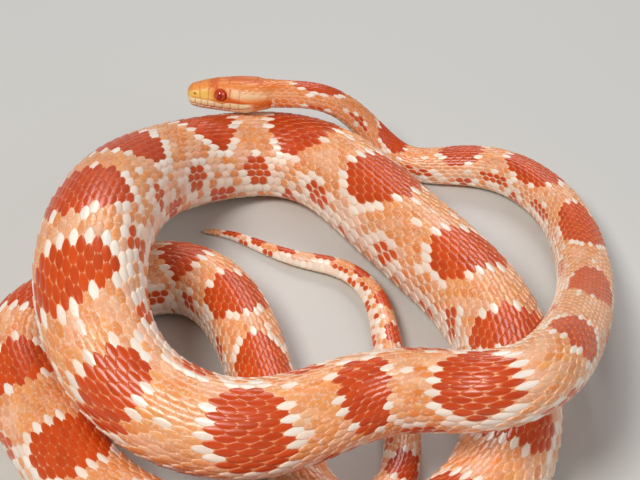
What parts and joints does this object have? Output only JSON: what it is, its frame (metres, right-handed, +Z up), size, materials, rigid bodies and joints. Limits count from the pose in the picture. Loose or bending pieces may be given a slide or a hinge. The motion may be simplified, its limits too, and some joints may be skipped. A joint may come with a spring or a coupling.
{
  "type": "corn snake",
  "caption": "Adult corn snake lying coiled over its own body, with its head resting on its back; scaly skin with red saddles edged in white on orange; still, life-size model.",
  "frame": {"origin": "middle of the coil's outline, on the floor under it", "axes": "+Z up; +X to the picture's right; -Y towards the picture's viewer; the snout points along -X"},
  "size_m": [0.2285, 0.2459, 0.0709],
  "materials": {
    "back_scales": "smooth overlapping scales, satin, red saddles with white borders on orange",
    "jaw_scales": "smooth cream scales, satin",
    "eye": "clear glossy spectacle over an orange-red iris"
  },
  "bodies": {
    "root": {"head": "back_scales", "lower_jaw": "jaw_scales", "eye_left": "eye", "eye_right": "eye", "neck": "back_scales", "trunk_1": "back_scales", "trunk_2": "back_scales", "trunk_3": "back_scales", "trunk_4": "back_scales", "trunk_5": "back_scales", "trunk_6": "back_scales", "trunk_7": "back_scales", "trunk_8": "back_scales", "trunk_9": "back_scales", "trunk_10": "back_scales", "tail_1": "back_scales", "tail_2": "back_scales", "tail_3": "back_scales"}
  },
  "joints": []
}
